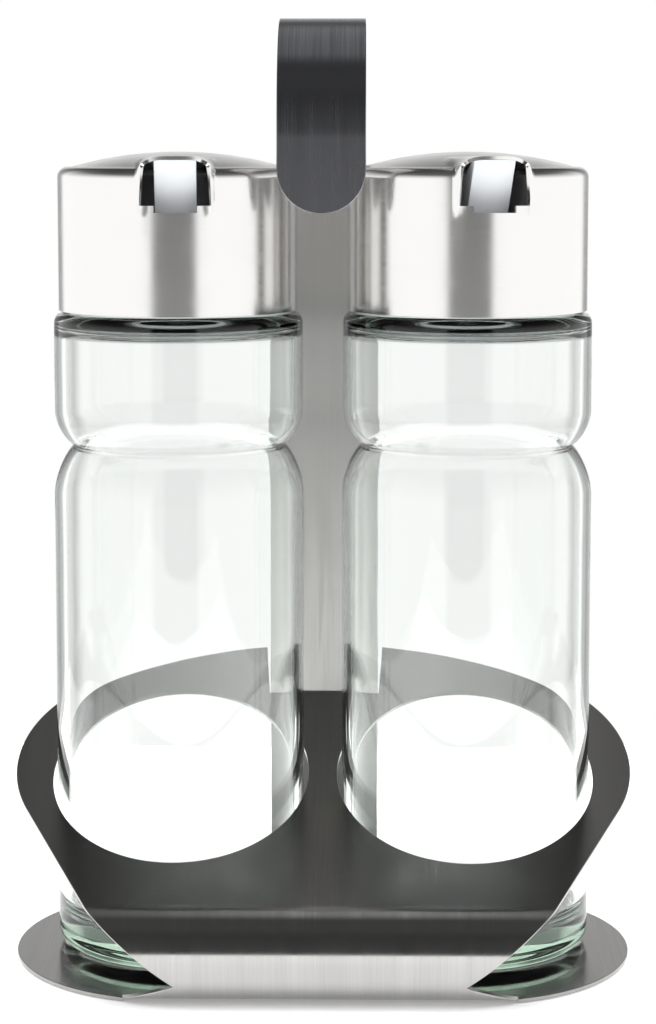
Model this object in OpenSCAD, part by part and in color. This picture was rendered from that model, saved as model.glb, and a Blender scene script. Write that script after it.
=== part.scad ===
// Oil and vinegar cruet set: two glass bottles with steel pouring caps, carried
// in a stand folded from one steel sheet with a strip handle hooked over the top.
// Units are millimetres, Z is up, the caps pour toward -Y, the table is Z = 0.

/* [Stand sheet] */
// Thickness of the stand sheet
sheet_t = 1; // [0.8:0.1:1.5]
// Length of the foot plate from side to side
base_len = 148; // [140:1:160]
// Depth of the foot plate, its ends are half circles
base_depth = 79; // [74:1:90]
// How far the foot plate sits forward of the bottle centres
base_fwd = 5.5; // [2:0.5:8]
// Outer radius of the front fold
nose_r = 12; // [9:0.5:13]
// How far the front fold's centre lies forward of the bottle centres
nose_fwd = 39.8; // [38:0.2:42]
// Rise of the bottle holder toward the back, degrees
holder_tilt = 22.8; // [18:0.2:26]
// Half width left between the tips of the two relief cuts
neck_half = 33; // [30:0.5:36]
// Corner radius of the holder wings
wing_r = 36; // [32:0.5:38]
// Side reach of the wing corner centres
wing_x = 39.2; // [37:0.2:41]
// How far the wing corner centres lie behind the bottle centres
wing_back = 4; // [2:0.5:6]
// How far the holder reaches behind the bottle centres
holder_back = 50; // [46:0.5:54]

/* [Bottle places] */
// Half the distance between the two bottle centres
pitch_half = 34.6; // [34:0.1:38]
// Radius of the two holes seen from above
hole_r = 31.1; // [30.8:0.1:31.2]

/* [Handle strip] */
// Width of the handle strip
strip_w = 20.5; // [18:0.5:22]
// Thickness of the handle strip
strip_t = 1.2; // [1:0.1:1.5]
// How far the strip's front face stands behind the bottle centres
strip_back = 31; // [31:0.5:33]
// Inner radius of the arch at the top
arch_r = 27; // [26.5:0.5:29]
// Highest point of the handle
handle_top = 224.3; // [215:0.1:235]
// Height of the rounded end of the tab in front
tab_low = 178.6; // [176:0.2:190]
// Length of the foot welded to the foot plate
foot_len = 12; // [8:0.5:13]

/* [Bottle] */
// Outer radius of the bottle body
body_r = 30; // [29:0.1:30.4]
// Height of the straight part of the bottle above its own bottom
body_h = 108.7; // [100:0.1:120]
// Outer radius of the upper bulb
bulb_r = 29.8; // [28:0.1:30]
// Glass thickness of the wall
wall = 2.6; // [2:0.1:3.2]
// Glass thickness of the bottom
floor_t = 7; // [4:0.5:10]
// Outer radius of the neck hidden under the cap
neck_r = 24.5; // [23:0.1:25]
// Bore radius of the neck
bore_r = 21.4; // [20:0.1:22]

/* [Cap and pouring insert] */
// Outer radius of the cap
cap_r = 28.6; // [28:0.1:29.5]
// Sheet thickness of the cap
cap_t = 0.8; // [0.6:0.1:1]
// Height of the cap's highest point above the table
cap_top = 192.7; // [190:0.1:195]
// Dome radius of the cap's top
dome_r = 90.8; // [80:0.5:110]
// Width of the pouring window
window_w = 15.7; // [14:0.1:17]
// Width of the white spout
spout_w = 9.6; // [8:0.1:11]
// Turn of the left cap, degrees
turn_left = 3; // [-15:1:15]
// Turn of the right cap, degrees
turn_right = 10; // [-15:1:15]

/* [Hidden] */
$fn = 96;
gap = 0.3;
z_seat = sheet_t + gap;
base_r = base_depth / 2;
base_x = base_len / 2 - base_r;
y_nose = -nose_fwd;
base_cut = 45;
band_half = 53.9;
relief_z = 5.5;
st = sin(holder_tilt);
ct = cos(holder_tilt);
y_tan = y_nose - nose_r * st;
z_tan = nose_r + nose_r * ct;
back_r = (pow(wing_x, 2) + pow(holder_back - wing_back, 2) - pow(wing_r, 2))
    / (2 * (holder_back - wing_back - wing_r));
arch_y = strip_back - arch_r;
arch_z = handle_top - arch_r - strip_t;
z_waist0 = z_seat + body_h;
sh_c = 10.2;
sh_r = body_r - sh_c;
bulb_z = z_waist0 + 22;
low_r = 11.65;
low_c = bulb_r - low_r;
bulb_top = z_waist0 + 44.9;
neck_top = bulb_top + 16.4;
cap_low = bulb_top + gap;
dome_z = cap_top - dome_r;
seal_z = neck_top - 9;
steel = [0.72, 0.72, 0.73];
glass = [0.80, 0.92, 0.88, 0.45];
white = [0.95, 0.95, 0.93];
rubber = [0.82, 0.83, 0.84];

// Turns a drawing made in the Y-Z plane into a bar running along X.
module along_x(half) {
    rotate([90, 0, 90]) translate([0, 0, -half]) linear_extrude(2 * half) children();
}

// ---------- stand ----------

// Side view of the front fold, from the foot plate up to the holder plate.
module nose_section() {
    intersection() {
        translate([y_nose, nose_r]) difference() {
            circle(nose_r);
            circle(nose_r - sheet_t);
        }
        polygon([[y_nose, -1], [y_nose, nose_r], [y_nose - 30 * st, nose_r + 30 * ct],
            [y_nose - 30, nose_r + 30], [y_nose - 30, -1]]);
    }
}

// Side view of the sloping holder plate.
module holder_section() {
    len = 110;
    polygon([[y_tan, z_tan], [y_tan + len * ct, z_tan + len * st],
        [y_tan + len * ct + sheet_t * st, z_tan + len * st - sheet_t * ct],
        [y_tan + sheet_t * st, z_tan - sheet_t * ct]]);
}

// Outline of the holder seen from above.
module holder_outline() {
    xs = wing_x + wing_r * cos(28.7);
    ys = wing_back - wing_r * sin(28.7);
    k = back_r / (back_r - wing_r);
    xb = wing_x * k;
    yb = holder_back - back_r + (wing_back - holder_back + back_r) * k;
    intersection() {
        translate([0, holder_back - back_r]) circle(back_r, $fn = 180);
        union() {
            for (s = [-1, 1]) translate([s * wing_x, wing_back]) circle(wing_r);
            for (s = [-1, 1]) polygon([[0, y_tan], [s * band_half, y_tan],
                [s * xs, ys], [s * xb, yb], [0, yb + 40]]);
        }
    }
}

// Front view of the fold: wide at the top, cut in to the two relief tips.
module nose_front() {
    difference() {
        for (s = [-1, 1]) polygon([[0, -1], [s * base_cut, -1], [s * base_cut, 1],
            [s * neck_half, relief_z], [s * band_half, z_tan], [s * band_half, 26], [0, 26]]);
        for (s = [-1, 1]) translate([s * (neck_half + 0.5), relief_z + 0.3]) circle(0.6);
    }
}

// Outline of the foot plate, stopped where the fold begins.
module base_outline() {
    difference() {
        translate([0, -base_fwd]) union() {
            square([2 * base_x, base_depth], center = true);
            for (s = [-1, 1]) translate([s * base_x, 0]) circle(base_r);
        }
        translate([-base_cut, y_nose - 20]) square([2 * base_cut, 20]);
    }
}

// The whole folded sheet: foot plate, front fold and holder plate.
module stand_body() color(steel) {
    linear_extrude(sheet_t) base_outline();
    intersection() {
        along_x(80) nose_section();
        rotate([90, 0, 0]) linear_extrude(80) nose_front();
    }
    difference() {
        intersection() {
            along_x(90) holder_section();
            linear_extrude(80) holder_outline();
        }
        for (s = [-1, 1]) translate([s * pitch_half, 0, 15]) cylinder(r = hole_r, h = 70);
        translate([-strip_w / 2 - 0.4, strip_back - gap, 30]) cube([strip_w + 0.8, 40, 50]);
    }
}

// The handle: welded foot, upright, arch and rounded tab.
module handle_strip() color(steel) {
    bend = 3;
    half = strip_w / 2;
    z0 = sheet_t + 0.02;
    y1 = strip_back;
    along_x(half) {
        translate([y1 - bend - foot_len + bend, z0]) square([foot_len - bend, strip_t]);
        intersection() {
            translate([y1 - bend, z0 + strip_t + bend]) difference() {
                circle(bend + strip_t);
                circle(bend);
            }
            translate([y1 - bend, z0]) square([bend + strip_t, bend + strip_t]);
        }
        translate([y1, z0 + strip_t + bend])
            square([strip_t, arch_z - z0 - strip_t - bend]);
        intersection() {
            translate([arch_y, arch_z]) difference() {
                circle(arch_r + strip_t);
                circle(arch_r);
            }
            translate([arch_y - 40, arch_z]) square([80, 40]);
        }
    }
    y_tab = arch_y - arch_r - strip_t;
    translate([0, y_tab + strip_t, 0]) rotate([90, 0, 0]) linear_extrude(strip_t) {
        translate([-half, tab_low + half]) square([strip_w, arch_z - tab_low - half]);
        translate([0, tab_low + half]) circle(half);
    }
}

// ---------- bottle ----------

// Meeting point of two circles, the one further out.
function meet(x1, y1, r1, x2, y2, r2) =
    let (dx = x2 - x1, dy = y2 - y1, d = sqrt(dx * dx + dy * dy),
        a = (r1 * r1 - r2 * r2 + d * d) / (2 * d), h = sqrt(r1 * r1 - a * a))
    [x1 + (a * dx + h * dy) / d, y1 + (a * dy - h * dx) / d];

// Half section of the outside of the glass.
module glass_outside() {
    heel = 4;
    f = 1.2;
    c = meet(sh_c, z_waist0, sh_r + f, low_c, bulb_z, low_r + f);
    t1 = [sh_c + (c[0] - sh_c) * sh_r / (sh_r + f), z_waist0 + (c[1] - z_waist0) * sh_r / (sh_r + f)];
    t2 = [low_c + (c[0] - low_c) * low_r / (low_r + f), bulb_z + (c[1] - bulb_z) * low_r / (low_r + f)];
    translate([0, z_seat]) square([body_r - heel, body_h]);
    translate([0, z_seat + heel]) square([body_r, body_h - heel]);
    translate([body_r - heel, z_seat + heel]) circle(heel);
    intersection() {
        translate([sh_c, z_waist0]) circle(sh_r);
        translate([sh_c, z_waist0 - 1]) square([30, 21]);
    }
    translate([0, z_waist0 - 1]) square([sh_c + 13, 25]);
    difference() {
        polygon([t1, c, t2, [sh_c + 8, (t1[1] + t2[1]) / 2]]);
        translate(c) circle(f, $fn = 48);
    }
    intersection() {
        translate([low_c, bulb_z]) circle(low_r);
        translate([low_c - 2, bulb_z - low_r]) square([30, low_r + 1]);
    }
    top = bulb_top - bulb_z;
    translate([0, bulb_z]) square([bulb_r, top - 3]);
    translate([0, bulb_z]) square([bulb_r - 3, top]);
    translate([bulb_r - 3, bulb_top - 3]) circle(3);
    translate([0, bulb_top - 1]) square([neck_r, neck_top - bulb_top + 1 - 1.2]);
    translate([0, bulb_top]) square([neck_r - 1.2, neck_top - bulb_top]);
    translate([neck_r - 1.2, neck_top - 1.2]) circle(1.2);
}

// Half section of the hollow inside the glass.
module glass_inside() {
    r = body_r - wall;
    z = z_seat + floor_t;
    k = 6;
    translate([0, z]) square([r - k, 20]);
    translate([0, z + k]) square([r, z_waist0 - z - k]);
    translate([r - k, z + k]) circle(k);
    intersection() {
        translate([sh_c, z_waist0]) circle(sh_r - wall);
        translate([sh_c, z_waist0 - 1]) square([30, 21]);
    }
    translate([0, z_waist0 - 1]) square([22.6, 26]);
    intersection() {
        translate([low_c, bulb_z]) circle(low_r - wall);
        translate([low_c - 2, bulb_z - low_r]) square([30, low_r + 1]);
    }
    b = bulb_r - wall;
    top = bulb_top - 2.8 - bulb_z;
    translate([0, bulb_z]) square([b, top - 4]);
    translate([0, bulb_z]) square([b - 4, top]);
    translate([b - 4, bulb_z + top - 4]) circle(4);
    translate([0, bulb_z]) square([bore_r, 80]);
}

module bottle(s) color(glass) translate([s * pitch_half, 0, 0])
    rotate_extrude() intersection() {
        difference() {
            glass_outside();
            glass_inside();
        }
        square([60, 300]);
    }

// ---------- closure ----------

// Soft ring in the insert's groove that seals the neck.
module seal(s) color(rubber) translate([s * pitch_half, 0, seal_z])
    rotate_extrude() translate([19.5, 0]) union() {
        square([1.25, 3]);
        translate([1.25, 0.75]) square([0.6, 1.5]);
    }

// Half section of a domed can, used for the outside and the inside of the cap.
module can(r, corner, dome) {
    zc = dome_z + sqrt(pow(dome - corner, 2) - pow(r - corner, 2));
    k = 6 / (dome - corner);
    translate([0, cap_low - 5]) square([r, zc - cap_low + 5]);
    intersection() {
        translate([0, dome_z]) circle(dome, $fn = 360);
        polygon([[0, cap_low], [r - corner, cap_low], [r - corner, zc],
            [(r - corner) * (1 + k), zc + (zc - dome_z) * k], [0, cap_top + 5]]);
    }
    translate([r - corner, zc]) circle(corner, $fn = 48);
}

// Arched opening of the pouring window, leaning up toward the front.
module arch_bar(w, drop, y0, y1) {
    translate([0, -cap_r - 0.3, cap_top + 0.3]) rotate([-8, 0, 0])
        rotate([90, 0, 0]) translate([0, 0, -y1]) linear_extrude(y1 - y0) intersection() {
            translate([-w / 2, -30]) square([w, 30]);
            translate([0, -12 - drop]) union() {
                circle(12);
                translate([-20, -30]) square([40, 33]);
            }
        }
}

module cap(s, turn) color(steel) translate([s * pitch_half, 0, 0]) rotate([0, 0, turn]) {
    sill = cap_low + 25.4;
    difference() {
        union() {
            rotate_extrude() intersection() {
                can(cap_r, 2.5, dome_r);
                translate([0, cap_low]) square([60, 60]);
            }
            intersection() {
                arch_bar(window_w + 2 * cap_t, 0, 0, 15);
                translate([-20, -cap_r - 0.3, sill - cap_t]) cube([40, 20, 30]);
            }
        }
        rotate_extrude() intersection() {
            can(cap_r - cap_t, 1.7, dome_r - cap_t);
            translate([0, cap_low - 1]) square([60, 60]);
        }
        intersection() {
            arch_bar(window_w, cap_t, -5, 14);
            translate([-20, -40, sill]) cube([40, 40, 30]);
        }
        translate([-spout_w / 2 - 0.3, -40, sill - 1.6]) cube([spout_w + 0.6, 20, 4]);
    }
}

// White plastic insert: stopper, skirt over the neck, deck and leaning spout.
module insert(s, turn) color(white) translate([s * pitch_half, 0, 0]) rotate([0, 0, turn]) {
    deck = neck_top + gap;
    rc = cap_r - cap_t - 0.05;
    lip = cap_top - 1.7;
    difference() {
        rotate_extrude() {
            translate([0, deck]) square([rc, 2]);
            translate([neck_r + gap, cap_low + 1.5]) square([rc - neck_r - gap, deck - cap_low]);
            difference() {
                translate([17.6, neck_top - 13]) square([3.3, 14]);
                translate([19.45, seal_z - 0.3]) square([5, 3.6]);
            }
        }
        translate([0, -7, deck - 1]) cylinder(r = 6.5, h = 4);
    }
    difference() {
        rotate([90, 0, 90]) translate([0, 0, -spout_w / 2]) linear_extrude(spout_w)
            polygon([[-16.6, deck + 0.5], [-28.2, lip], [-26, lip], [-3, deck + 8], [-3, deck + 0.5]]);
        rotate([90, 0, 90]) translate([0, 0, -spout_w / 2 + 1.4]) linear_extrude(spout_w - 2.8)
            polygon([[-14.7, deck], [-26.8, lip + 0.6], [-20, lip + 8], [-1, lip], [-1, deck]]);
    }
}

// ---------- assembly ----------

stand_body();
handle_strip();
bottle(-1);  // bottle_left
seal(-1);  // seal_left
insert(-1, turn_left);  // insert_left
cap(-1, turn_left);  // cap_left
bottle(1);  // bottle_right
seal(1);  // seal_right
insert(1, turn_right);  // insert_right
cap(1, turn_right);  // cap_right
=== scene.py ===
# %% [markdown]
# # An oil and vinegar cruet set
# Two glass bottles stand in a carrier made from one folded sheet of stainless
# steel. A strip handle rises behind them and hooks over the top. The plain
# solids that are loaded first hold every size. Each piece is shaped again over
# its solid as a smooth mesh of the same size, and gets its finish.

# %% Load the plain solids
import math

import bmesh
import bpy
from mathutils import Matrix, Vector


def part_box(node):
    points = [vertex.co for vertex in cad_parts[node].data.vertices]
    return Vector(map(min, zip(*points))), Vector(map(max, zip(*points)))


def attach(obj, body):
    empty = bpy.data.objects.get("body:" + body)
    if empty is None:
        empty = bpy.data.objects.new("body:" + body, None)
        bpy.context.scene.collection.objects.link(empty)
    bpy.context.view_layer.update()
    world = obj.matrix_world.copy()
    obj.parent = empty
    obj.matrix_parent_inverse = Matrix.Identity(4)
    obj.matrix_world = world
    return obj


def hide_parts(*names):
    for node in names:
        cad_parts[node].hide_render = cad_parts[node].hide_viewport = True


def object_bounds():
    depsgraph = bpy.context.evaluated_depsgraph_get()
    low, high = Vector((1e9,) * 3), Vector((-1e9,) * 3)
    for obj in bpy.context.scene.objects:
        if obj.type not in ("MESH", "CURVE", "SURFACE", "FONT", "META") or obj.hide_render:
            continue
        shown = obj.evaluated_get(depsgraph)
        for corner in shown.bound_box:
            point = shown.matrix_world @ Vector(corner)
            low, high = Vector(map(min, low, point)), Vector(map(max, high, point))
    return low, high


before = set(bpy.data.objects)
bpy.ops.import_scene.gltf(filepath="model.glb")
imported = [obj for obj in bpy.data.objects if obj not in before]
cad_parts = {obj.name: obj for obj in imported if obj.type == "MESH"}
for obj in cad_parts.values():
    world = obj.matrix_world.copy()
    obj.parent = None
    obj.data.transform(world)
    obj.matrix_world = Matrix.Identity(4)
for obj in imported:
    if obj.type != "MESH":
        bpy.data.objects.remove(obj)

MM = 0.001
CAD_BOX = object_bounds()
SCENE = bpy.context.scene
print("overall size, mm:", [round((b - a) / MM, 1) for a, b in zip(*CAD_BOX)])

# %% [markdown]
# ## The camera
# The set is seen from the front, a little from above, through a long lens. A
# small downward shift of the lens keeps the bottles' sides nearly parallel, and
# a tilt of the camera gives the rest of the downward look.

# %% Camera
LOOK_DOWN = 5.59
LOOK_LEFT = 0.73

camera_data = bpy.data.cameras.new("camera")
camera_data.sensor_width = 36.0
camera_data.lens = 83.74
camera_data.shift_y = -0.14
camera_data.clip_end = 50.0
camera = bpy.data.objects.new("camera", camera_data)
camera.location = (0.0085, -0.5695, 0.1965)
camera.rotation_euler = (math.radians(90 - LOOK_DOWN), 0, math.radians(LOOK_LEFT))
SCENE.collection.objects.link(camera)
SCENE.camera = camera
print("camera distance, m:", round(camera.location.length, 3))

# %% [markdown]
# ## Helpers
# Colours are picked as sRGB hex values, the way a swatch book gives them, and
# turned to the linear values that a shader mixes. One small function adds a
# node, sets it and links it, so that each material reads as a short recipe.

# %% Colour and node helpers
def colour(code):
    channels = [int(code[i:i + 2], 16) / 255 for i in (0, 2, 4)]
    linear = [c / 12.92 if c <= 0.04045 else ((c + 0.055) / 1.055) ** 2.4 for c in channels]
    return linear + [1.0]


def add_node(tree, kind, settings=None, values=None, links=None):
    made = tree.nodes.new(kind)
    for key, value in (settings or {}).items():
        setattr(made, key, value)
    for key, value in (values or {}).items():
        made.inputs[key].default_value = value
    for key, socket in (links or {}).items():
        tree.links.new(socket, made.inputs[key])
    return made


def new_material(name, values):
    material = bpy.data.materials.new(name)
    material.use_nodes = True
    tree = material.node_tree
    tree.nodes.clear()
    shader = add_node(tree, "ShaderNodeBsdfPrincipled", values=values)
    output = add_node(tree, "ShaderNodeOutputMaterial",
                      links={"Surface": shader.outputs["BSDF"]})
    return material, tree, shader, output


# %% [markdown]
# ## Brushed stainless steel
# The carrier is rolled 18/8 stainless, brushed along its length before it was
# folded. An abrasive belt leaves thousands of fine scratches side by side, so
# light spreads across the grain and stays sharp along it: the tangent therefore
# points across, along X. Noise stretched far along the grain draws the
# scratches. They are about 0.1 mm wide on the real sheet, and drawn 0.35 mm
# wide here, the finest that still shows. The strip is the same steel in two
# copies: a darker one on its outer side, painted shade that dims the tab, and a
# much paler, duller one on its inner side, painted light on the upright.

# %% Brushed steel
SCRATCH_WIDTH = 0.35 * MM
SCRATCH_LENGTH = 28 * MM
SCRATCH_DEPTH = 0.01 * MM
SMEAR_WIDTH = 4 * MM
SMEAR_LENGTH = SCRATCH_LENGTH / 0.3
SMEAR_SHARE = 0.4
STRETCH = 0.6


def brushed_steel(name, tint, low, high, relief, contrast):
    material, tree, shader, _ = new_material(name, {
        "Base Color": colour(tint), "Metallic": 1.0, "Roughness": (low + high) / 2,
        "Anisotropic": STRETCH})
    place = add_node(tree, "ShaderNodeTexCoord")
    fine = add_node(tree, "ShaderNodeMapping",
                    values={"Scale": (1 / SCRATCH_WIDTH, 1 / SCRATCH_LENGTH,
                                      1 / SCRATCH_LENGTH)},
                    links={"Vector": place.outputs["Object"]})
    broad = add_node(tree, "ShaderNodeMapping",
                     values={"Scale": (1 / SMEAR_WIDTH, 1 / SMEAR_LENGTH, 1 / SMEAR_LENGTH)},
                     links={"Vector": place.outputs["Object"]})
    scratches = add_node(tree, "ShaderNodeTexNoise", values={"Scale": 1.0, "Detail": 3.0},
                         links={"Vector": fine.outputs["Vector"]})
    smears = add_node(tree, "ShaderNodeTexNoise", values={"Scale": 1.0, "Detail": 2.0},
                      links={"Vector": broad.outputs["Vector"]})
    both = add_node(tree, "ShaderNodeMix", values={"Factor": SMEAR_SHARE},
                    links={"A": scratches.outputs["Fac"], "B": smears.outputs["Fac"]})
    rough = add_node(tree, "ShaderNodeMapRange",
                     values={"From Min": 0.3, "From Max": 0.7, "To Min": low, "To Max": high},
                     links={"Value": both.outputs["Result"]})
    bump = add_node(tree, "ShaderNodeBump",
                    values={"Strength": relief, "Distance": SCRATCH_DEPTH},
                    links={"Height": scratches.outputs["Fac"]})
    dull = [channel * (1 - contrast) for channel in colour(tint)[:3]] + [1.0]
    worn = add_node(tree, "ShaderNodeMix", settings={"data_type": "RGBA"},
                    values={6: colour(tint), 7: dull}, links={0: both.outputs["Result"]})
    across = add_node(tree, "ShaderNodeCombineXYZ", values={"X": 1.0})
    tree.links.new(worn.outputs[2], shader.inputs["Base Color"])
    tree.links.new(rough.outputs["Result"], shader.inputs["Roughness"])
    tree.links.new(bump.outputs["Normal"], shader.inputs["Normal"])
    tree.links.new(across.outputs["Vector"], shader.inputs["Tangent"])
    return material


STEEL_SHEET = brushed_steel("brushed_stainless_sheet", "bdbcba", low=0.14, high=0.22,
                            relief=0.3, contrast=0.35)
# The strip's steel has a darker tint than the sheet's: painted shade on the tab.
STEEL_STRIP_PAINTED_SHADE = brushed_steel("brushed_stainless_strip_painted_shade", "a0a1a6", low=0.18, high=0.3,
                            relief=0.45, contrast=0.4)
# A much paler copy of the steel for the strip's inner side: painted light on the upright; its
# higher roughness makes it duller.
PALE_STEEL_PAINTED_LIGHT = brushed_steel("pale_stainless_painted_light", "eceae7", low=0.42, high=0.55,
                           relief=0.1, contrast=0.1)
print("steel materials:", STEEL_SHEET.name, STEEL_STRIP_PAINTED_SHADE.name, PALE_STEEL_PAINTED_LIGHT.name)

# %% [markdown]
# ## Polished stainless caps
# The caps are drawn from thinner sheet and polished while they spin, so they
# are almost mirrors, with faint rings that run round them. A noise that changes
# quickly with height and slowly round the cap gives those rings.

# %% Polished steel
RING_WIDTH = 0.4 * MM
RING_LENGTH = RING_WIDTH / 0.03
RING_DEPTH = 0.01 * MM
HAZE_SIZE = 9 * MM


def polished_steel(name, tint):
    material, tree, shader, _ = new_material(name, {
        "Base Color": colour(tint), "Metallic": 1.0, "Roughness": 0.18})
    place = add_node(tree, "ShaderNodeTexCoord")
    rings = add_node(tree, "ShaderNodeMapping",
                     values={"Scale": (1 / RING_LENGTH, 1 / RING_LENGTH, 1 / RING_WIDTH)},
                     links={"Vector": place.outputs["Object"]})
    lines = add_node(tree, "ShaderNodeTexNoise", values={"Scale": 1.0, "Detail": 2.0},
                     links={"Vector": rings.outputs["Vector"]})
    haze = add_node(tree, "ShaderNodeTexNoise",
                    values={"Scale": 1 / HAZE_SIZE, "Detail": 3.0},
                    links={"Vector": place.outputs["Object"]})
    both = add_node(tree, "ShaderNodeMix", values={"Factor": 0.5},
                    links={"A": lines.outputs["Fac"], "B": haze.outputs["Fac"]})
    rough = add_node(tree, "ShaderNodeMapRange",
                     values={"From Min": 0.3, "From Max": 0.7, "To Min": 0.14, "To Max": 0.24},
                     links={"Value": both.outputs["Result"]})
    bump = add_node(tree, "ShaderNodeBump",
                    values={"Strength": 0.08, "Distance": RING_DEPTH},
                    links={"Height": lines.outputs["Fac"]})
    tree.links.new(rough.outputs["Result"], shader.inputs["Roughness"])
    tree.links.new(bump.outputs["Normal"], shader.inputs["Normal"])
    return material


STEEL_CAP = polished_steel("polished_stainless_cap", "e6e5e3")
print("cap material:", STEEL_CAP.name)

# %% [markdown]
# ## Soda-lime glass
# Bottle glass has a little iron in it. A thin wall looks clear, but light that
# crosses the heavy bottom sideways travels through centimetres of glass and
# turns green, so the colour comes from absorption by depth, not from paint. The
# moulded surface waves very slightly, which bends the reflections.

# %% Glass
WAVE_SIZE = 14 * MM
WAVE_DEPTH = 0.3 * MM


def bottle_glass(name):
    material, tree, shader, output = new_material(name, {
        "Base Color": colour("ffffff"), "Roughness": 0.0, "IOR": 1.5,
        "Transmission Weight": 1.0})
    depth = add_node(tree, "ShaderNodeVolumeAbsorption",
                     values={"Color": colour("9fd0ae"), "Density": 20.0})
    tree.links.new(depth.outputs["Volume"], output.inputs["Volume"])
    place = add_node(tree, "ShaderNodeTexCoord")
    waves = add_node(tree, "ShaderNodeTexNoise",
                     values={"Scale": 1 / WAVE_SIZE, "Detail": 1.0},
                     links={"Vector": place.outputs["Object"]})
    bump = add_node(tree, "ShaderNodeBump",
                    values={"Strength": 0.12, "Distance": WAVE_DEPTH},
                    links={"Height": waves.outputs["Fac"]})
    tree.links.new(bump.outputs["Normal"], shader.inputs["Normal"])
    return material


GLASS = bottle_glass("soda_lime_glass")
print("glass material:", GLASS.name)

# %% [markdown]
# ## White polypropylene and silicone
# The pouring insert is moulded in white polypropylene: slightly waxy, with a
# fine spark-eroded texture from its mould, and light that sinks in a little
# before it comes back. The seal is translucent silicone, softer and more matt.

# %% Plastic and silicone
GRAIN_DEPTH = 0.02 * MM
GLOW_DEPTH = 2 * MM


def moulded(name, tint, rough, grain, soft):
    material, tree, shader, _ = new_material(name, {
        "Base Color": colour(tint), "Roughness": rough, "IOR": 1.49,
        "Subsurface Weight": soft, "Subsurface Radius": (GLOW_DEPTH, GLOW_DEPTH, GLOW_DEPTH),
        "Subsurface Scale": 1.0})
    place = add_node(tree, "ShaderNodeTexCoord")
    texture = add_node(tree, "ShaderNodeTexNoise", values={"Scale": 1 / grain, "Detail": 4.0},
                       links={"Vector": place.outputs["Object"]})
    gloss = add_node(tree, "ShaderNodeMapRange",
                     values={"From Min": 0.3, "From Max": 0.7,
                             "To Min": rough - 0.06, "To Max": rough + 0.08},
                     links={"Value": texture.outputs["Fac"]})
    bump = add_node(tree, "ShaderNodeBump",
                    values={"Strength": 0.2, "Distance": GRAIN_DEPTH},
                    links={"Height": texture.outputs["Fac"]})
    tree.links.new(gloss.outputs["Result"], shader.inputs["Roughness"])
    tree.links.new(bump.outputs["Normal"], shader.inputs["Normal"])
    return material


WHITE_PLASTIC = moulded("white_polypropylene", "e4e7ea", rough=0.38, grain=0.5 * MM, soft=0.15)
SILICONE = moulded("translucent_silicone", "dfe3e2", rough=0.5, grain=0.8 * MM, soft=0.3)
print("moulded materials:", WHITE_PLASTIC.name, SILICONE.name)

# %% [markdown]
# ## Finishing a piece
# Every piece ends the same way. Doubles are merged, faces are turned outwards,
# edges sharper than a given angle stay crisp, the piece is hung on the body that
# carries it and takes its finish, and the plain solid it stands for is hidden.

# %% Finish helper
def finish_piece(name, bm, material, body, node, crease=32.0):
    bmesh.ops.remove_doubles(bm, verts=bm.verts, dist=0.002 * MM)
    bmesh.ops.recalc_face_normals(bm, faces=bm.faces)
    mesh = bpy.data.meshes.new(name)
    bm.to_mesh(mesh)
    bm.free()
    mesh.shade_smooth()
    mesh.set_sharp_from_angle(angle=math.radians(crease))
    mesh.materials.append(material)
    piece = bpy.data.objects.new(name, mesh)
    SCENE.collection.objects.link(piece)
    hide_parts(node)
    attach(piece, body)
    low = [min(v.co[i] for v in mesh.vertices) for i in range(3)]
    high = [max(v.co[i] for v in mesh.vertices) for i in range(3)]
    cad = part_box(node)
    print(name, "faces", len(mesh.polygons), "grows past the plain solid by, mm:",
          [round((a - b) / MM, 2) for a, b in zip(cad[0], low)],
          [round((b - a) / MM, 2) for a, b in zip(cad[1], high)])
    return piece


# %% [markdown]
# ## Turning a shape
# A bottle, a ring or a cap is round, so its half section is drawn as a wire and
# spun. Each corner of the wire is a radius and a height, with the distance at
# which its rounding starts; a vertex bevel then rounds it.

# %% Turning helper
def turned(bm, corners, centre, steps):
    wire = [bm.verts.new((r * MM, 0, z * MM)) for r, z, _ in corners]
    for start, end in zip(wire, wire[1:] + wire[:1]):
        bm.edges.new((start, end))
    for vertex, (_, _, rounding) in zip(wire, corners):
        if rounding:
            bmesh.ops.bevel(bm, geom=[vertex], offset=rounding * MM, offset_type="OFFSET",
                            segments=max(4, int(3 + rounding * 2)), profile=0.5,
                            affect="VERTICES", material=-1)
    bmesh.ops.spin(bm, geom=bm.verts[:] + bm.edges[:], cent=(0, 0, 0), axis=(0, 0, 1),
                   angle=math.tau, steps=steps, use_merge=True, use_duplicate=False)
    bmesh.ops.remove_doubles(bm, verts=bm.verts, dist=0.01 * MM)
    bmesh.ops.translate(bm, verts=bm.verts, vec=centre)


def middle_of(node):
    low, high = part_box(node)
    return Vector(((low[0] + high[0]) / 2, (low[1] + high[1]) / 2, low[2]))


# %% [markdown]
# ## The bottles
# Each bottle is one closed skin, outside and inside together: heel, straight
# body, shoulder, waist, bulb and the neck that the cap hides. The bottom is
# 7 mm thick and pushed up a little in its middle, so that the bottle stands on
# a ring, and the inside is rounded where it meets the wall.

# %% Bottles
BOTTLE_STEPS = 160
WALL = 2.6
BOTTOM = 7.0
PUSHED_UP = 1.6
WAIST_RADIUS = 25.3
WAIST_HEIGHT = 121.5
BULB_STEP = 0.2
NECK_RADIUS = 24.5
NECK_HEIGHT = 16.4
BORE_RADIUS = 21.4

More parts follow.
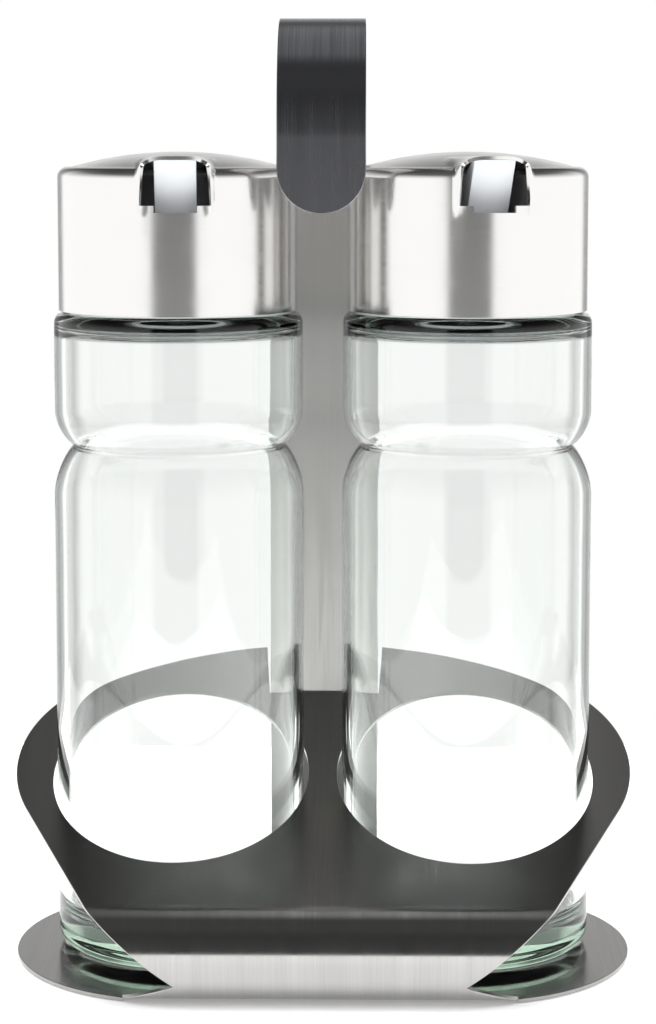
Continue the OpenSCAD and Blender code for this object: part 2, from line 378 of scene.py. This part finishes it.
for side in ("left", "right"):
    low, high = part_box("bottle_" + side)
    body = (high[0] - low[0]) / 2 / MM
    tall = (high[2] - low[2]) / MM
    bulb = body - BULB_STEP
    bulb_top = tall - NECK_HEIGHT
    inner_top = bulb_top - WALL - BULB_STEP
    profile = [
        (0, PUSHED_UP, 0), (20, PUSHED_UP, 4), (23.5, 0, 1.5), (body, 0, 3.9),
        (body, WAIST_HEIGHT - 5.53, 6.3), (WAIST_RADIUS, WAIST_HEIGHT, 0.9),
        (bulb, WAIST_HEIGHT + 3.57, 4.7), (bulb, bulb_top, 2.9),
        (NECK_RADIUS, bulb_top, 0.8), (NECK_RADIUS, tall, 1.1), (BORE_RADIUS, tall, 0.8),
        (BORE_RADIUS, inner_top, 1.4), (bulb - WALL, inner_top, 3.8),
        (bulb - WALL, WAIST_HEIGHT + 4.6, 3.9), (WAIST_RADIUS - WALL, WAIST_HEIGHT, 1.4),
        (body - WALL, WAIST_HEIGHT - 6.6, 5.5), (body - WALL, BOTTOM, 5.8),
        (8, BOTTOM + 0.4, 3), (0, BOTTOM + 0.8, 0)]
    glass = bmesh.new()
    turned(glass, profile, middle_of("bottle_" + side), BOTTLE_STEPS)
    finish_piece("glass_bottle_" + side, glass, GLASS, side + "_bottle", "bottle_" + side,
                 50)

# %% [markdown]
# ## The caps
# A cap starts as an open turned shell, one degree to a step. The window is
# opened by deleting the faces of the front wall between its two sides, a
# little lower under the spout. Then the metal above it is lifted into a visor,
# as a press would: each point near the window moves up to a roof line, and the
# lift dies away to both sides and back into the dome. The metal beside the
# window is pressed out a little too. Last, the sheet gets its thickness.

# %% Cap sizes
CAP_STEPS = 360
CAP_WALL = 0.8
CAP_RADIUS = 28.6
CAP_HEIGHT = 37.5
DOME_RADIUS = 90.8
CORNER = 2.5
CORNER_STEPS = 7
CORNER_ANGLE = 73
CORNER_HEIGHT = 2.2
SILL_HEIGHT = 25.4
SPOUT_DROP = 1.6
WINDOW_ANGLE = 16
SPOUT_ANGLE = 10
WINDOW_HALF = CAP_RADIUS * math.sin(math.radians(WINDOW_ANGLE))
print("window width, mm:", round(2 * WINDOW_HALF, 2))


def ease(value, start, stop):
    t = min(1.0, max(0.0, (value - start) / (stop - start)))
    return t * t * (3 - 2 * t)


def dome_height(r, top):
    return top - DOME_RADIUS + math.sqrt(DOME_RADIUS * DOME_RADIUS - r * r)


# %% Cap skin
def cap_skin(foot, sill, knee, top):
    heights = [foot, foot + 1.0, foot + 12, sill - 3, sill - SPOUT_DROP, sill, sill + 1.5,
               sill + 3, knee - 0.6, knee]
    bm = bmesh.new()
    wire = [bm.verts.new((CAP_RADIUS, 0, z)) for z in heights]
    for i in range(1, CORNER_STEPS + 1):
        a = math.radians(CORNER_ANGLE * i / CORNER_STEPS)
        wire.append(bm.verts.new((CAP_RADIUS - CORNER + CORNER * math.cos(a), 0,
                                  knee + CORNER * math.sin(a))))
    for r in (25.5, 24, 22, 20, 18, 16, 14, 12, 8, 4, 0):
        wire.append(bm.verts.new((r, 0, dome_height(r, top))))
    edges = [bm.edges.new(pair) for pair in zip(wire, wire[1:])]
    bmesh.ops.spin(bm, geom=wire + edges, cent=(0, 0, 0), axis=(0, 0, 1), angle=math.tau,
                   steps=CAP_STEPS, use_merge=True, use_duplicate=False)
    bmesh.ops.remove_doubles(bm, verts=bm.verts, dist=0.005)
    return bm


# %% Pouring window
def open_window(bm, sill, knee):
    doomed = []
    for face in bm.faces:
        point = face.calc_center_median()
        side = abs(math.degrees(math.atan2(point.x, -point.y)))
        lower_edge = sill - SPOUT_DROP if side < SPOUT_ANGLE else sill
        on_wall = math.hypot(point.x, point.y) > CAP_RADIUS - 0.6
        if on_wall and side < WINDOW_ANGLE and lower_edge < point.z < knee:
            doomed.append(face)
    bmesh.ops.delete(bm, geom=doomed, context="FACES")


# %% Visor
VISOR_BACK = 13.0
VISOR_RISE = 0.1
VISOR_SAG = 1.9
VISOR_REACH = 0.3
FLARE_BELOW = 2.5
FLARE_OUT = 0.6
FLARE_SIDE = 0.35


def press_visor(bm, sill, knee, top):
    for vertex in bm.verts:
        x, y, z = vertex.co
        if y > 1 - VISOR_BACK or z < sill - FLARE_BELOW:
            continue
        across = 1 - ease(abs(x), WINDOW_HALF + 0.15, WINDOW_HALF + 1.5)
        along = (-VISOR_BACK - y) / (CAP_RADIUS - VISOR_BACK)
        if z > knee - 0.3 and along > 0:
            roof = dome_height(VISOR_BACK, top) + along * VISOR_RISE
            roof -= VISOR_SAG * (abs(x) / WINDOW_HALF) ** 4 * ease(along, 0.0, 0.9)
            vertex.co.z += max(0.0, roof - z) * across * ease(along, 0.0, 0.35)
            reach = math.sqrt(max(0.0, CAP_RADIUS * CAP_RADIUS - x * x)) + VISOR_REACH
            out = across * ease(along, 0.75, 1.0)
            vertex.co.y += (-reach - y) * out * ease(knee + CORNER_HEIGHT - z, 0.0, CORNER_HEIGHT)
        if math.hypot(x, y) > CAP_RADIUS - 0.1:
            flare = 1 - ease(abs(abs(x) - WINDOW_HALF), 0.0, 1.5)
            flare *= ease(z, sill - FLARE_BELOW, sill + 1)
            vertex.co.y -= FLARE_OUT * flare
            vertex.co.x += math.copysign(FLARE_SIDE * flare * ease(sill + 8 - z, 0, 8), x)


# %% Caps
CAP_TURN = {"left": 3, "right": 10}


def cap_shell(foot, turn, centre):
    top = foot + CAP_HEIGHT
    sill = foot + SILL_HEIGHT
    knee = dome_height(CAP_RADIUS - CORNER, top) - CORNER_HEIGHT
    bm = cap_skin(foot, sill, knee, top)
    open_window(bm, sill, knee)
    press_visor(bm, sill, knee, top)
    bmesh.ops.recalc_face_normals(bm, faces=bm.faces)
    peak = max(bm.verts, key=lambda v: v.co.z)
    if peak.normal.z < 0:
        bmesh.ops.reverse_faces(bm, faces=bm.faces)
    bm.normal_update()
    bmesh.ops.solidify(bm, geom=bm.faces[:], thickness=CAP_WALL)
    bmesh.ops.scale(bm, verts=bm.verts, vec=(MM, MM, MM))
    bmesh.ops.rotate(bm, verts=bm.verts, cent=(0, 0, 0),
                     matrix=Matrix.Rotation(math.radians(turn), 3, "Z"))
    bmesh.ops.translate(bm, verts=bm.verts, vec=(centre.x, centre.y, 0))
    return bm


for side in ("left", "right"):
    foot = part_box("cap_" + side)[0][2] / MM
    shell = cap_shell(foot, CAP_TURN[side], middle_of("bottle_" + side))
    finish_piece("steel_cap_" + side, shell, STEEL_CAP, side + "_cap", "cap_" + side,
                 40)

# %% [markdown]
# ## The pouring inserts and seals
# The insert's plain solid already has its true shape, so a copy of it is
# merged, its flat areas are joined, and its sharp edges get the small radius
# that a mould leaves. The seal is a turned ring with a soft lip.

# %% Insert helper
MOULD_RADIUS = 0.2 * MM


def softened_copy(node, radius):
    bm = bmesh.new()
    bm.from_mesh(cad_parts[node].data)
    bmesh.ops.remove_doubles(bm, verts=bm.verts, dist=0.001 * MM)
    bmesh.ops.dissolve_limit(bm, angle_limit=math.radians(1.0), verts=bm.verts,
                             edges=bm.edges)
    sharp = [e for e in bm.edges
             if len(e.link_faces) == 2 and e.calc_face_angle(0) > math.radians(40)]
    bmesh.ops.bevel(bm, geom=sharp, offset=radius, offset_type="OFFSET", segments=3,
                    profile=0.5, affect="EDGES", material=-1, clamp_overlap=True)
    return bm


# %% Seal shape
SEAL_STEPS = 96
SEAL_BORE = 19.5
SEAL_RADIUS = 20.75
LIP_RADIUS = 21.35
SEAL_PROFILE = [
    (SEAL_BORE, 0, 0.3), (SEAL_RADIUS, 0, 0.4), (SEAL_RADIUS, 0.75, 0.2),
    (LIP_RADIUS, 0.75, 0.4), (LIP_RADIUS, 2.25, 0.4), (SEAL_RADIUS, 2.25, 0.2),
    (SEAL_RADIUS, 3, 0.4), (SEAL_BORE, 3, 0.3)]
print("corners of the seal's section:", len(SEAL_PROFILE))

# %% Inserts and seals
for side in ("left", "right"):
    insert = softened_copy("insert_" + side, MOULD_RADIUS)
    finish_piece("pouring_insert_" + side, insert, WHITE_PLASTIC, side + "_cap",
                 "insert_" + side, 35)
    ring = bmesh.new()
    turned(ring, SEAL_PROFILE, middle_of("seal_" + side), SEAL_STEPS)
    finish_piece("silicone_seal_" + side, ring, SILICONE, side + "_seal", "seal_" + side,
                 50)

# %% [markdown]
# ## The folded sheet
# The carrier is shaped as a metalworker thinks of it: flat areas joined by one
# fold. The foot plate and the holder are flat outlines, the fold is an edge
# spun about the fold's axis, and all three are welded into one skin before it
# gets its thickness. Everything is drawn in millimetres and scaled at the end.

# %% Sheet sizes
SHEET = 1.0
FOLD_RADIUS = 12.0
FOLD_Y = -39.8
TILT = math.radians(22.8)
BAND_HALF = 53.9
BASE_CUT = 45.0
TIP = (33.0, 5.5)
HOLDER_Y = FOLD_Y - FOLD_RADIUS * math.sin(TILT)
HOLDER_Z = FOLD_RADIUS + FOLD_RADIUS * math.cos(TILT)
print("holder starts at y, z, mm:", round(HOLDER_Y, 2), round(HOLDER_Z, 2))


def arc(cx, cy, r, start, stop, steps):
    angles = [math.radians(start + (stop - start) * i / steps) for i in range(steps + 1)]
    return [(cx + r * math.cos(a), cy + r * math.sin(a)) for a in angles]


def loop(bm, points):
    verts = [bm.verts.new((x, y, 0)) for x, y in points]
    return [bm.edges.new((verts[i - 1], verts[i])) for i in range(len(verts))]


# %% Foot plate outline
FOOT_RADIUS = 39.5
FOOT_CENTRE = (34.5, -5.5)


def foot_plate(bm):
    end_x, end_y = FOOT_CENTRE
    start = -math.degrees(math.acos((BASE_CUT - end_x) / FOOT_RADIUS))
    right = arc(end_x, end_y, FOOT_RADIUS, start, 90, 40)
    left = [(-x, y) for x, y in reversed(right)]
    edges = loop(bm, [(BASE_CUT, FOLD_Y)] + right + left + [(-BASE_CUT, FOLD_Y)])
    bmesh.ops.triangle_fill(bm, use_beauty=True, use_dissolve=False, edges=edges)


# %% Holder outline
WING_CENTRE = (39.2, 4.0)
WING_RADIUS = 36.0
WING_START = -28.7
REAR_Y = 50.0
HOLE_X = 34.6
HOLE_RADIUS = 31.1
NOTCH_HALF = 20.5 / 2 + 0.4
NOTCH_Y = 30.7


def holder_plate(bm):
    wing_x, wing_y = WING_CENTRE
    rise = REAR_Y - wing_y
    rear_r = (wing_x ** 2 + rise ** 2 - WING_RADIUS ** 2) / (2 * (rise - WING_RADIUS))
    rear_y = REAR_Y - rear_r
    meet = math.degrees(math.atan2(wing_y - rear_y, wing_x))
    notch_angle = math.degrees(math.acos(NOTCH_HALF / rear_r))
    right = [(BAND_HALF, HOLDER_Y)] + arc(wing_x, wing_y, WING_RADIUS, WING_START, meet, 36)
    right += arc(0, rear_y, rear_r, meet, notch_angle, 30)[1:] + [(NOTCH_HALF, NOTCH_Y)]
    left = [(-x, y) for x, y in reversed(right)]
    before = set(bm.verts)
    edges = loop(bm, right + left)
    for s in (-1, 1):
        edges += loop(bm, arc(s * HOLE_X, 0, HOLE_RADIUS, 0, 360, 120)[:-1])
    bmesh.ops.triangle_fill(bm, use_beauty=True, use_dissolve=False, edges=edges)
    for vertex in set(bm.verts) - before:
        vertex.co.z = HOLDER_Z + (vertex.co.y - HOLDER_Y) * math.tan(TILT)


# %% Front fold
BLANK_HALF = 60.0
FOLD_STEPS = 40


def front_fold(bm):
    a = bm.verts.new((-BLANK_HALF, FOLD_Y, 0))
    b = bm.verts.new((BLANK_HALF, FOLD_Y, 0))
    edge = bm.edges.new((a, b))
    bmesh.ops.spin(bm, geom=[a, b, edge], cent=(0, FOLD_Y, FOLD_RADIUS), axis=(1, 0, 0),
                   angle=-(math.pi - TILT), steps=FOLD_STEPS, use_merge=False,
                   use_duplicate=False)


# %% [markdown]
# ## Relief cuts
# Before a sheet is folded, its corners are notched, so that the bend doesn't
# tear. Here the fold is spun from a wide blank and then trimmed: a slanting
# line takes the side off above the notch's tip, a second one runs from the tip
# down to the foot plate, and whatever lies outside them is deleted.

# %% Trim the fold
SIDE = Vector((BAND_HALF - TIP[0], 0, HOLDER_Z - TIP[1])).normalized()
RELIEF = Vector((BASE_CUT - TIP[0], 0, SHEET - TIP[1])).normalized()


def score(bm, faces, point, normal):
    edges = {e for f in faces for e in f.edges}
    verts = {v for f in faces for v in f.verts}
    bmesh.ops.bisect_plane(bm, geom=[*verts, *edges, *faces], dist=0.0001,
                           plane_co=point, plane_no=normal)


def trim_fold(bm):
    for s in (-1, 1):
        tip = (s * TIP[0], 0, TIP[1])
        upper = [f for f in bm.faces if max(v.co.z for v in f.verts) > TIP[1]]
        score(bm, upper, tip, (s * SIDE.z, 0, -SIDE.x))
        lower = [f for f in bm.faces if min(v.co.z for v in f.verts) < TIP[1]]
        score(bm, lower, tip, (s * RELIEF.z, 0, -RELIEF.x))
        lowest = [f for f in bm.faces if min(v.co.z for v in f.verts) < SHEET]
        score(bm, lowest, (s * BASE_CUT, 0, 0), (s, 0, 0))
    outside = []
    for face in bm.faces:
        point = face.calc_center_median()
        wide = abs(point.x)
        x, z = wide - TIP[0], point.z - TIP[1]
        beyond_side = x * SIDE.z - z * SIDE.x > 0
        above_relief = x * RELIEF.z - z * RELIEF.x < 0
        if (beyond_side and above_relief) or wide > BAND_HALF or (wide > BASE_CUT and z < 0):
            outside.append(face)
    bmesh.ops.delete(bm, geom=outside, context="FACES")


# %% Stand body
sheet = bmesh.new()
front_fold(sheet)
trim_fold(sheet)
foot_plate(sheet)
holder_plate(sheet)
bmesh.ops.remove_doubles(sheet, verts=sheet.verts, dist=0.01)
bmesh.ops.recalc_face_normals(sheet, faces=sheet.faces)
sheet.normal_update()
foot_face = min(sheet.faces, key=lambda f: f.calc_center_median().z)
if foot_face.normal.z > 0:
    bmesh.ops.reverse_faces(sheet, faces=sheet.faces[:])
    sheet.normal_update()
print("foot plate normal", [round(c, 2) for c in foot_face.normal], "open edges",
      sum(1 for e in sheet.edges if e.is_boundary))
bmesh.ops.solidify(sheet, geom=sheet.faces[:], thickness=SHEET)
bmesh.ops.scale(sheet, verts=sheet.verts, vec=(MM, MM, MM))
stand = finish_piece("folded_sheet_stand", sheet, STEEL_SHEET, "stand", "stand_body",
                     32)

# %% [markdown]
# ## The handle strip
# The strip is one edge, drawn along its path: a short foot, a tight bend, the
# upright, half a turn over the top and the tab. Two vertex bevels as wide as
# half the strip round the tab's end. The side that faces the bottles gets the
# pale steel, painted light, and the other side the darker brushed steel, painted shade.

# %% Strip sizes
STRIP = 1.2
BEND = 3.0
FOOT_LENGTH = 12.0
TAB_END = 178.6
strip_low, strip_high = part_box("handle_strip")
half = (strip_high[0] - strip_low[0]) / 2 / MM
back_y = strip_high[1] / MM
front_y = strip_low[1] / MM
arch_r = (back_y - front_y) / 2
arch_y = (back_y + front_y) / 2
arch_z = strip_high[2] / MM - arch_r
foot_z = strip_low[2] / MM
print("strip width and arch radius, mm:", round(2 * half, 2), round(arch_r, 2))


def extrude_edge(bm, edge, move):
    made = bmesh.ops.extrude_edge_only(bm, edges=[edge])["geom"]
    verts = [g for g in made if isinstance(g, bmesh.types.BMVert)]
    bmesh.ops.translate(bm, verts=verts, vec=move)
    return next(g for g in made if isinstance(g, bmesh.types.BMEdge) and set(g.verts) == set(verts))


def sweep_edge(bm, edge, centre, angle, steps):
    made = bmesh.ops.spin(bm, geom=[*edge.verts, edge], cent=centre, axis=(1, 0, 0), angle=angle,
                          steps=steps, use_merge=False, use_duplicate=False)["geom_last"]
    return next(g for g in made if isinstance(g, bmesh.types.BMEdge))


# %% Draw the strip
strip = bmesh.new()
start_y = back_y - STRIP - FOOT_LENGTH
ends = [strip.verts.new((x, start_y, foot_z)) for x in (-half, half)]
edge = strip.edges.new(ends)
edge = extrude_edge(strip, edge, (0, FOOT_LENGTH - BEND, 0))
edge = sweep_edge(strip, edge, (0, back_y - STRIP - BEND, foot_z + STRIP + BEND),
                  math.radians(90), 10)
edge = extrude_edge(strip, edge, (0, 0, arch_z - edge.verts[0].co.z))
edge = sweep_edge(strip, edge, (0, arch_y, arch_z), math.radians(180), 72)
edge = extrude_edge(strip, edge, (0, 0, TAB_END - arch_z))
bmesh.ops.bevel(strip, geom=list(edge.verts), offset=half - 0.05, offset_type="OFFSET",
                segments=24, profile=0.5, affect="VERTICES", material=-1)
bmesh.ops.recalc_face_normals(strip, faces=strip.faces)
top_face = max(strip.faces, key=lambda f: f.calc_center_median().z)
if top_face.normal.z < 0:
    bmesh.ops.reverse_faces(strip, faces=strip.faces[:])
    strip.normal_update()
bmesh.ops.solidify(strip, geom=strip.faces[:], thickness=STRIP)
strip.normal_update()
print("strip faces:", len(strip.faces))


# %% Finish the strip
def faces_bottles(face):
    point = face.calc_center_median()
    if point.z >= arch_z:
        return math.hypot(point.y - arch_y, point.z - arch_z) < arch_r - STRIP * 0.9
    return face.normal.y < -0.5 if point.y > 0 else face.normal.y > 0.5


# The faces toward the bottles take the pale steel, which is painted light.
inner_side = [face for face in strip.faces if faces_bottles(face)]
for face in inner_side:
    face.material_index = 1
print("faces of the strip's inner side:", len(inner_side))
bmesh.ops.scale(strip, verts=strip.verts, vec=(MM, MM, MM))
handle = finish_piece("strip_handle", strip, STEEL_STRIP_PAINTED_SHADE, "stand", "handle_strip",
                      32)
handle.data.materials.append(PALE_STEEL_PAINTED_LIGHT)

# %% [markdown]
# ## Softened edges
# Sheet metal is never cut to a knife edge. A narrow bevel modifier catches the
# light along every rim, and weighted normals keep the flat areas flat.

# %% Edge modifiers
EDGE = 0.18 * MM
for piece in (stand, handle):
    bevel = piece.modifiers.new("edge", "BEVEL")
    bevel.width = EDGE
    bevel.segments = 2
    bevel.limit_method = "ANGLE"
    bevel.angle_limit = math.radians(60)
    flat = piece.modifiers.new("flat", "WEIGHTED_NORMAL")
    flat.keep_sharp = True
print("edge width, mm:", EDGE / MM)

# %% [markdown]
# ## Floor
# The floor is a small sheet of matt white paper, just wide enough for the set
# and its soft shadow. A large bright floor would fill the glass with light and
# wash its dark edges out.

# %% Floor
FLOOR_HALF = (0.32, 0.3, 1.0)
FLOOR_Y = -0.11
FLOOR_DROP = 0.2 * MM
floor_bm = bmesh.new()
bmesh.ops.create_grid(floor_bm, x_segments=1, y_segments=1, size=1.0)
bmesh.ops.scale(floor_bm, verts=floor_bm.verts, vec=FLOOR_HALF)
bmesh.ops.translate(floor_bm, verts=floor_bm.verts, vec=(0, FLOOR_Y, CAD_BOX[0][2] - FLOOR_DROP))
floor_mesh = bpy.data.meshes.new("floor")
floor_bm.to_mesh(floor_mesh)
floor_bm.free()
floor_material = new_material("matt_white_paper", {
    "Base Color": colour("f7f7f7"), "Roughness": 0.9, "Emission Color": colour("ffffff"),
    "Emission Strength": 0.2})[0]
floor_mesh.materials.append(floor_material)
floor = bpy.data.objects.new("floor", floor_mesh)
SCENE.collection.objects.link(floor)
print("floor size, m:", 2 * FLOOR_HALF[0], 2 * FLOOR_HALF[1])

# %% [markdown]
# ## Sky
# Polished steel shows whatever surrounds it, so the surroundings are part of
# the look. They are drawn as one sky, in greys, by direction alone. A direction
# is a unit vector: Z 0 is the horizon, Z 1 is straight up, and Y 1 is straight
# behind the set. Round the horizon the sky is white, with two grey bands on
# either side of a lighter back, and it darkens as it rises.

# %% Sky round the set
RING_TONES = [(0.0, 0.78), (0.08, 0.78), (0.11, 0.34), (0.2, 0.34), (0.235, 1.0), (1.0, 1.0)]
DARKER_UPWARDS = {"From Min": 0.1, "From Max": 0.6, "To Min": 1.22, "To Max": 0.16}

world = bpy.data.worlds.new("studio")
SCENE.world = world
world.use_nodes = True
sky = world.node_tree
sky.nodes.clear()
place = add_node(sky, "ShaderNodeTexCoord")
axes = add_node(sky, "ShaderNodeSeparateXYZ", links={"Vector": place.outputs["Generated"]})
wide = add_node(sky, "ShaderNodeMath", settings={"operation": "ABSOLUTE"},
                links={0: axes.outputs["X"]})
angle = add_node(sky, "ShaderNodeMath", settings={"operation": "ARCTAN2"},
                 links={0: wide.outputs["Value"], 1: axes.outputs["Y"]})
turn = add_node(sky, "ShaderNodeMath", settings={"operation": "DIVIDE"}, values={1: math.pi},
                links={0: angle.outputs["Value"]})
ring = add_node(sky, "ShaderNodeValToRGB", links={"Fac": turn.outputs["Value"]})
ramp = ring.color_ramp.elements
while len(ramp) < len(RING_TONES):
    ramp.new(0.5)
for stop, (where, grey) in zip(ramp, RING_TONES):
    stop.position = where
    stop.color = (grey, grey, grey, 1.0)
rise = add_node(sky, "ShaderNodeMapRange", values=DARKER_UPWARDS,
                links={"Value": axes.outputs["Z"]})
around = add_node(sky, "ShaderNodeMath", settings={"operation": "MULTIPLY"},
                  links={0: ring.outputs["Color"], 1: rise.outputs["Result"]})
print("stops round the sky:", len(ramp))

# %% [markdown]
# ## Dark front and ceiling
# Reflections also need something dark. A dark front, behind the camera, puts
# the grey stripe down the middle of each cap. A ceiling that is light only
# right above the middle gives the sloping holder its dark wings. Only glossy
# rays see these two, so they don't dim the glass and the plastic. Well below
# the horizon, and wherever the camera looks past the set, the sky is white.

# %% Sky in front, above and below
FRONT_EDGE = {"From Min": 0.872, "From Max": 0.897}
FRONT_TONES = {"From Min": -0.05, "From Max": 0.05, "To Min": 0.3, "To Max": 0.06}
CEILING_EDGE = {"From Min": 0.6, "From Max": 0.8}
CEILING_TONES = {"From Min": 0.0, "From Max": 0.11, "To Min": 0.75, "To Max": 0.07}
CEILING_AHEAD = {"From Min": -0.05, "From Max": -0.25}
AHEAD_TONE = 0.1
BELOW_EDGE = {"From Min": -0.22, "From Max": -0.34}
WHITE = 1.0

ray = add_node(sky, "ShaderNodeLightPath")
facing = add_node(sky, "ShaderNodeMapRange", values=FRONT_EDGE,
                  links={"Value": turn.outputs["Value"], "To Max": ray.outputs["Is Glossy Ray"]})
front = add_node(sky, "ShaderNodeMapRange", values=FRONT_TONES,
                 links={"Value": axes.outputs["Z"]})
level = add_node(sky, "ShaderNodeMix",
                 links={"Factor": facing.outputs["Result"], "A": around.outputs["Value"],
                        "B": front.outputs["Result"]})
height = add_node(sky, "ShaderNodeMapRange", values=CEILING_EDGE,
                  links={"Value": axes.outputs["Z"], "To Max": ray.outputs["Is Glossy Ray"]})
zenith = add_node(sky, "ShaderNodeMapRange", values=CEILING_TONES,
                  links={"Value": wide.outputs["Value"]})
ahead = add_node(sky, "ShaderNodeMapRange", values=CEILING_AHEAD,
                 links={"Value": axes.outputs["Y"]})
ceiling = add_node(sky, "ShaderNodeMix", values={"B": AHEAD_TONE},
                   links={"Factor": ahead.outputs["Result"], "A": zenith.outputs["Result"]})
covered = add_node(sky, "ShaderNodeMix",
                   links={"Factor": height.outputs["Result"], "A": level.outputs["Result"],
                          "B": ceiling.outputs["Result"]})
below = add_node(sky, "ShaderNodeMapRange", values=BELOW_EDGE,
                 links={"Value": axes.outputs["Z"]})
whole = add_node(sky, "ShaderNodeMix", values={"B": WHITE},
                 links={"Factor": below.outputs["Result"], "A": covered.outputs["Result"]})
shown = add_node(sky, "ShaderNodeMix", values={"B": WHITE},
                 links={"Factor": ray.outputs["Is Camera Ray"], "A": whole.outputs["Result"]})
light = add_node(sky, "ShaderNodeBackground", values={"Strength": 1.0},
                 links={"Color": shown.outputs["Result"]})
add_node(sky, "ShaderNodeOutputWorld", links={"Surface": light.outputs["Background"]})
print("sky nodes:", len(sky.nodes))

# %% [markdown]
# ## Lamps
# Three large soft lamps brighten the floor and the plastic. They are hidden
# from reflections and from the view through the glass, because their squares
# would show as hard bright bands.

# %% Lamps
def lamp(name, place, aim, size, power):
    data = bpy.data.lights.new(name, "AREA")
    data.shape = "SQUARE"
    data.size = size
    data.energy = power
    made = bpy.data.objects.new(name, data)
    made.location = place
    made.rotation_euler = (Vector(aim) - Vector(place)).to_track_quat("-Z", "Y").to_euler()
    made.visible_camera = False
    made.visible_glossy = False
    made.visible_transmission = False
    SCENE.collection.objects.link(made)


lamp("soft_left", place=(-1.0, -0.6, 1.2), aim=(0, 0, 0.05), size=1.0, power=12)
lamp("soft_right", place=(1.0, -0.6, 1.2), aim=(0, 0, 0.05), size=1.0, power=12)
lamp("soft_top", place=(0.0, 0.3, 1.8), aim=(0, 0.1, 0), size=2.2, power=50)
SCENE.view_settings.view_transform = "Standard"
SCENE.view_settings.look = "None"
print("lamps:", len(bpy.data.lights))
